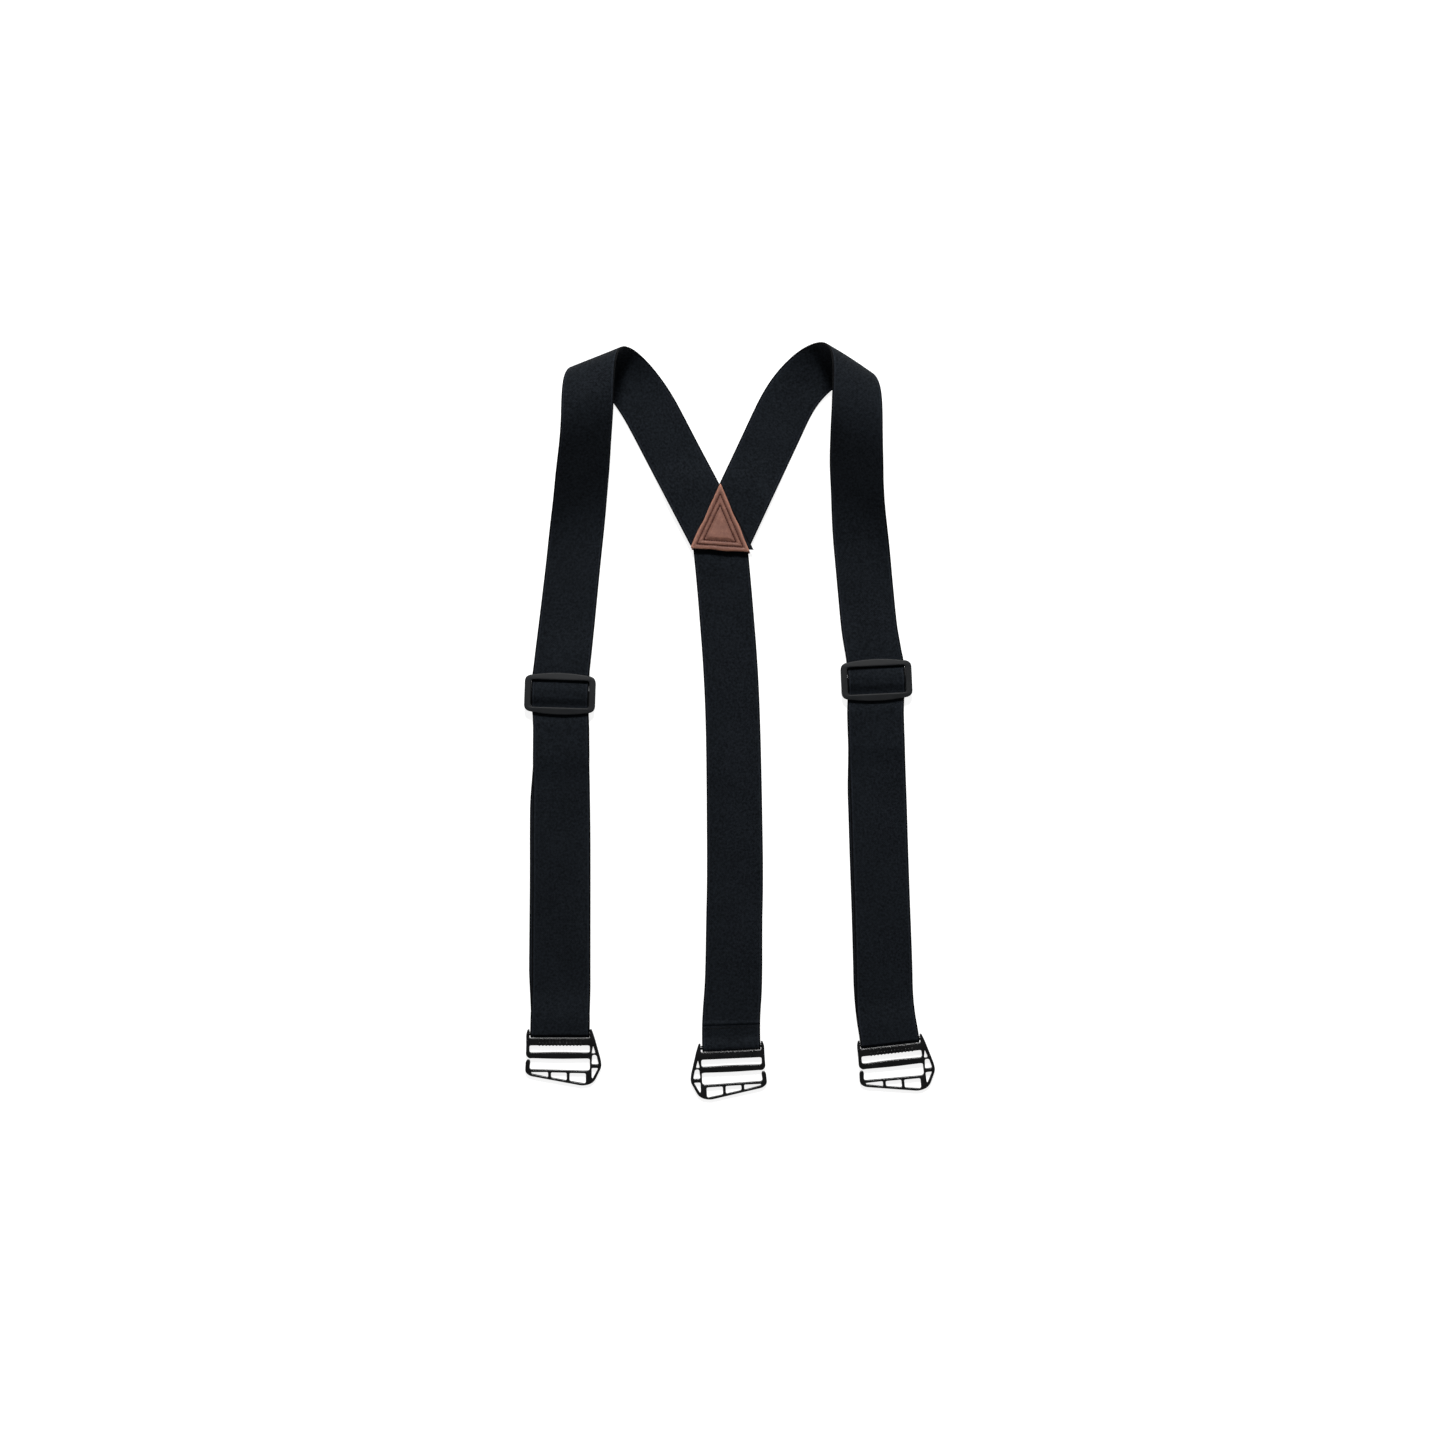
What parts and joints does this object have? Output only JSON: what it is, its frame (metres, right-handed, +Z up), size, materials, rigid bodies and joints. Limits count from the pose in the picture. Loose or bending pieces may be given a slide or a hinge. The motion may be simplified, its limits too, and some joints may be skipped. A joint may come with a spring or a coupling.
{
  "type": "suspenders",
  "caption": "Y-back suspenders of wide black elastic webbing with sliding adjusters, a stitched leather back patch and flat belt hooks, laid flat.",
  "frame": {"origin": "on the floor under the middle of the lay", "axes": "+Y from the hooks towards the shoulder loops, +Z up from the floor, +X towards the strap whose loop is turned over further"},
  "size_m": [0.2869, 0.5292, 0.0611],
  "materials": {
    "webbing": "black elastic webbing, fine twill",
    "hardware": "satin black moulded plastic",
    "leather": "soft brown leather",
    "thread": "black sewing thread"
  },
  "bodies": {
    "patch_and_arms": {"left_front_strap": "webbing", "left_shoulder_loop": "webbing", "left_back_arm": "webbing", "right_front_strap": "webbing", "right_shoulder_loop": "webbing", "right_back_arm": "webbing", "back_strap": "webbing", "back_hook_fold": "webbing", "back_hem_stitching": "thread", "outer_leather": "leather", "inner_leather": "leather", "patch_outer_stitching": "thread", "patch_inner_stitching": "thread"},
    "back_hook_unit": {"back_hook": "hardware"},
    "left_slider_unit": {"left_slider": "hardware", "left_slider_crossing": "webbing", "left_slider_end_fold": "webbing", "left_slider_end_stitching": "thread", "left_lower_front_layer": "webbing", "left_lower_back_layer": "webbing"},
    "left_loop_unit": {"left_hook_fold": "webbing"},
    "left_hook_unit": {"left_hook": "hardware"},
    "right_slider_unit": {"right_slider": "hardware", "right_slider_crossing": "webbing", "right_slider_end_fold": "webbing", "right_slider_end_stitching": "thread", "right_lower_front_layer": "webbing", "right_lower_back_layer": "webbing"},
    "right_loop_unit": {"right_hook_fold": "webbing"},
    "right_hook_unit": {"right_hook": "hardware"}
  },
  "joints": [
    {"name": "left_slider_slide", "type": "slide", "parent": "patch_and_arms", "child": "left_slider_unit", "axis": [0, -1, 0], "range_m": [-0.07, 0.24], "deforming": ["left_front_strap"]},
    {"name": "left_loop_slide", "type": "slide", "parent": "left_slider_unit", "child": "left_loop_unit", "axis": [0, -1, 0], "range_m": [-0.12, 0.035], "deforming": ["left_lower_front_layer", "left_lower_back_layer"]},
    {"name": "left_hook_hinge", "type": "hinge", "parent": "left_loop_unit", "child": "left_hook_unit", "pos_m": [-0.11768, -0.2194, 0.003], "axis": [1, 0, 0], "range_deg": [-95, 95]},
    {"name": "right_slider_slide", "type": "slide", "parent": "patch_and_arms", "child": "right_slider_unit", "axis": [0.0279, -0.9996, 0], "range_m": [-0.07, 0.24], "deforming": ["right_front_strap"]},
    {"name": "right_loop_slide", "type": "slide", "parent": "right_slider_unit", "child": "right_loop_unit", "axis": [0.0279, -0.9996, 0], "range_m": [-0.12, 0.035], "deforming": ["right_lower_front_layer", "right_lower_back_layer"]},
    {"name": "right_hook_hinge", "type": "hinge", "parent": "right_loop_unit", "child": "right_hook_unit", "pos_m": [0.11319, -0.22495, 0.003], "axis": [0.9938, 0.1115, 0], "range_deg": [-95, 95]},
    {"name": "back_hook_hinge", "type": "hinge", "parent": "patch_and_arms", "child": "back_hook_unit", "pos_m": [0.00197, -0.22854, 0.003], "axis": [0.999, 0.0454, 0], "range_deg": [-95, 95]}
  ],
  "couplings": [
    {"joint": "left_loop_slide", "follows": "left_slider_slide", "ratio": -0.5},
    {"joint": "right_loop_slide", "follows": "right_slider_slide", "ratio": -0.5}
  ]
}
